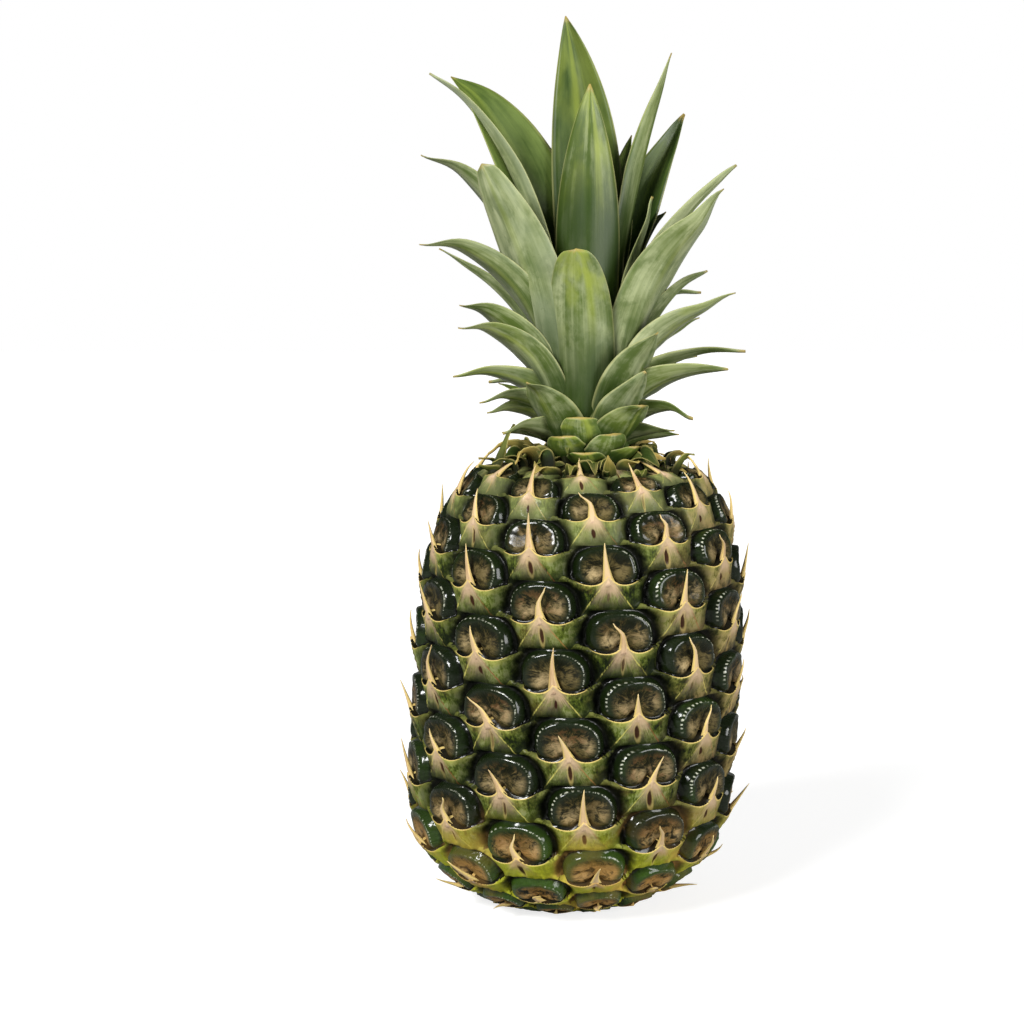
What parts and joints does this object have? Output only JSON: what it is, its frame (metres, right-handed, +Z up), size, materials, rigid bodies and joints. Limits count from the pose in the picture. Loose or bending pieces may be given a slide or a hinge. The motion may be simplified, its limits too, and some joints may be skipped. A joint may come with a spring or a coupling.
{
  "type": "pineapple",
  "caption": "Whole ripe pineapple standing upright: barrel fruit of domed eyes with pointed bracts, a crown of arching leaves and a cut stalk.",
  "frame": {"origin": "centre of the stalk's flat cut face, on the surface that the fruit stands on", "axes": "+Z up from the stalk to the crown, -Y towards the viewer of the picture, +X to the viewer's right"},
  "size_m": [0.1292, 0.1266, 0.3104],
  "materials": {
    "skin": "waxy green-brown rind with glossy dark eyes and dry tan bracts",
    "leaves": "leathery grey-green leaves with a waxy bloom and dry tips",
    "stalk": "dry fibrous cut end"
  },
  "bodies": {
    "root": {"fruit": "skin", "crown": "leaves", "stalk": "stalk"}
  },
  "joints": []
}
